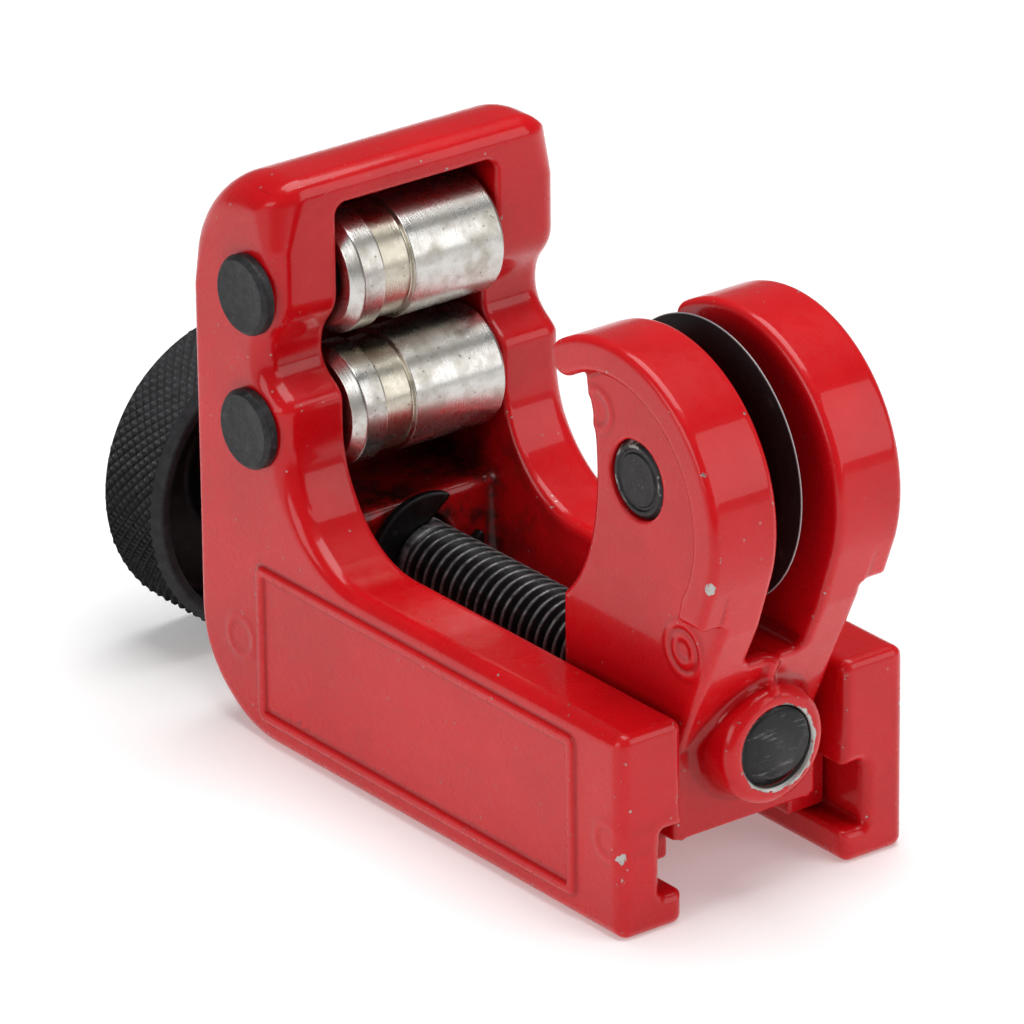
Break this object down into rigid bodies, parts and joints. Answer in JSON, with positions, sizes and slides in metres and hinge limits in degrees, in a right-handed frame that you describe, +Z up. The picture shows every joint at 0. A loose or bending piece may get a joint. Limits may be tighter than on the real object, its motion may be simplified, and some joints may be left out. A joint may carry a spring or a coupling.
{
  "type": "pipe cutter",
  "caption": "Mini pipe cutter: C-shaped red casting with twin rollers, and a sliding jaw with a cutting wheel, driven by a knurled feed knob.",
  "frame": {"origin": "under the middle of the tool, on the plane that the two base rails stand on", "axes": "+X along the feed screw from the knob to the open end, +Y along the roller axes away from the pin heads, +Z up from the rails to the rollers"},
  "size_m": [0.0674, 0.0261, 0.0428],
  "materials": {
    "red_enamel": "gloss red enamel on a die casting",
    "zinc_plate": "bright zinc plate, lightly worn",
    "black_pin": "black phosphate, matte",
    "wheel_steel": "black oxide with a bright ground edge",
    "screw_steel": "black oxide, lightly oiled",
    "knob_black": "black, satin, knurled"
  },
  "bodies": {
    "frame": {"body_casting": "red_enamel", "upper_roller_pin": "black_pin", "lower_roller_pin": "black_pin"},
    "screw_unit": {"feed_screw": "screw_steel", "knob": "knob_black", "knob_cross_pin": "screw_steel", "thrust_washer": "screw_steel", "retaining_clip": "screw_steel"},
    "jaw": {"jaw_casting": "red_enamel", "wheel_axle_pin": "black_pin"},
    "wheel": {"cutting_wheel": "wheel_steel"},
    "upper_roller": {"upper_roller": "zinc_plate"},
    "lower_roller": {"lower_roller": "zinc_plate"}
  },
  "joints": [
    {"name": "jaw_slide", "type": "slide", "parent": "frame", "child": "jaw", "axis": [1, 0, 0], "range_m": [-0.021, 0.001]},
    {"name": "feed_turn", "type": "hinge", "parent": "frame", "child": "screw_unit", "pos_m": [0, 0, 0.01165], "axis": [1, 0, 0], "range_deg": [-361, 7561]},
    {"name": "wheel_spin", "type": "hinge", "parent": "jaw", "child": "wheel", "pos_m": [0.02225, 0, 0.03055], "axis": [0, 1, 0], "continuous": true},
    {"name": "upper_roller_spin", "type": "hinge", "parent": "frame", "child": "upper_roller", "pos_m": [-0.01325, 0, 0.0344], "axis": [0, 1, 0], "continuous": true},
    {"name": "lower_roller_spin", "type": "hinge", "parent": "frame", "child": "lower_roller", "pos_m": [-0.01325, 0, 0.0242], "axis": [0, 1, 0], "continuous": true}
  ],
  "couplings": [
    {"joint": "feed_turn", "follows": "jaw_slide", "rad_per_m": -6283.2}
  ]
}
